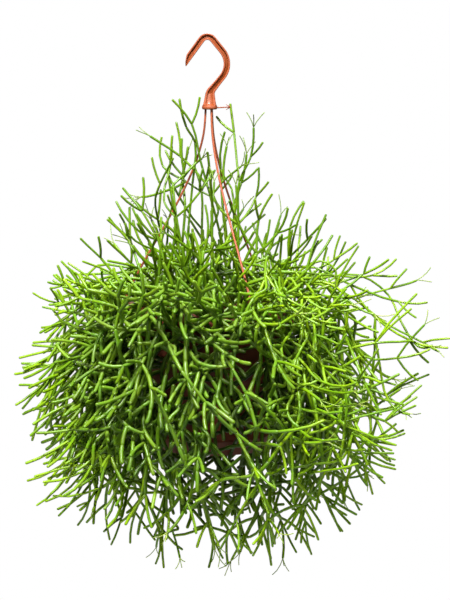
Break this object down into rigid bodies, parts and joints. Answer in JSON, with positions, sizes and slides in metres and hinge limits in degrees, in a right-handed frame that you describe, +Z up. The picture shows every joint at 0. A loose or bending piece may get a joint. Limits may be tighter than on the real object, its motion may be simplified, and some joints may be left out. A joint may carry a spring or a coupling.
{
  "type": "potted rhipsalis heteroclada",
  "caption": "Hanging pot with a plastic hook and bowed rods, filled with soil and a round bush of slender, forked green cactus stems that spill over its rim.",
  "frame": {"origin": "underside of the hook's crook, where the rail or ceiling hook that carries the pot touches it", "axes": "+Z up, from the pot towards the hook; -Y is the front, as in the picture; +X is the side that the hook bulges towards"},
  "size_m": [0.399, 0.3487, 0.4939],
  "materials": {
    "hanger_plastic": "terracotta-orange moulded plastic, satin",
    "pot_plastic": "red-brown moulded plastic, semi-matte",
    "soil_matter": "loose dark potting soil, matte",
    "stem_skin": "smooth waxy green stem skin, satin"
  },
  "bodies": {
    "root": {"hanger_hook": "hanger_plastic", "hanger_rod_left": "hanger_plastic", "hanger_rod_front": "hanger_plastic", "hanger_rod_back": "hanger_plastic", "pot": "pot_plastic", "soil": "soil_matter", "stem_spray_01": "stem_skin", "stem_spray_02": "stem_skin", "stem_spray_03": "stem_skin", "stem_spray_04": "stem_skin", "stem_spray_05": "stem_skin", "stem_spray_06": "stem_skin", "stem_spray_07": "stem_skin", "stem_spray_08": "stem_skin", "stem_spray_09": "stem_skin", "stem_spray_10": "stem_skin", "stem_spray_11": "stem_skin", "stem_spray_12": "stem_skin", "stem_spray_13": "stem_skin", "stem_spray_14": "stem_skin", "stem_spray_15": "stem_skin", "stem_spray_16": "stem_skin", "stem_spray_17": "stem_skin", "stem_spray_18": "stem_skin", "stem_spray_19": "stem_skin", "stem_spray_20": "stem_skin", "stem_spray_21": "stem_skin", "stem_spray_22": "stem_skin", "stem_spray_23": "stem_skin", "stem_spray_24": "stem_skin", "stem_spray_25": "stem_skin", "stem_spray_26": "stem_skin", "stem_spray_27": "stem_skin", "stem_spray_28": "stem_skin", "stem_spray_29": "stem_skin", "stem_spray_30": "stem_skin", "stem_spray_31": "stem_skin", "stem_spray_32": "stem_skin", "stem_spray_33": "stem_skin", "stem_spray_34": "stem_skin", "stem_spray_35": "stem_skin", "stem_spray_36": "stem_skin", "stem_spray_37": "stem_skin", "stem_spray_38": "stem_skin", "stem_spray_39": "stem_skin", "stem_spray_40": "stem_skin", "stem_spray_41": "stem_skin", "stem_spray_42": "stem_skin", "stem_spray_43": "stem_skin", "stem_spray_44": "stem_skin", "stem_spray_45": "stem_skin", "stem_spray_46": "stem_skin", "stem_spray_47": "stem_skin", "stem_spray_48": "stem_skin", "stem_spray_49": "stem_skin", "stem_spray_50": "stem_skin", "stem_spray_51": "stem_skin"}
  },
  "joints": []
}
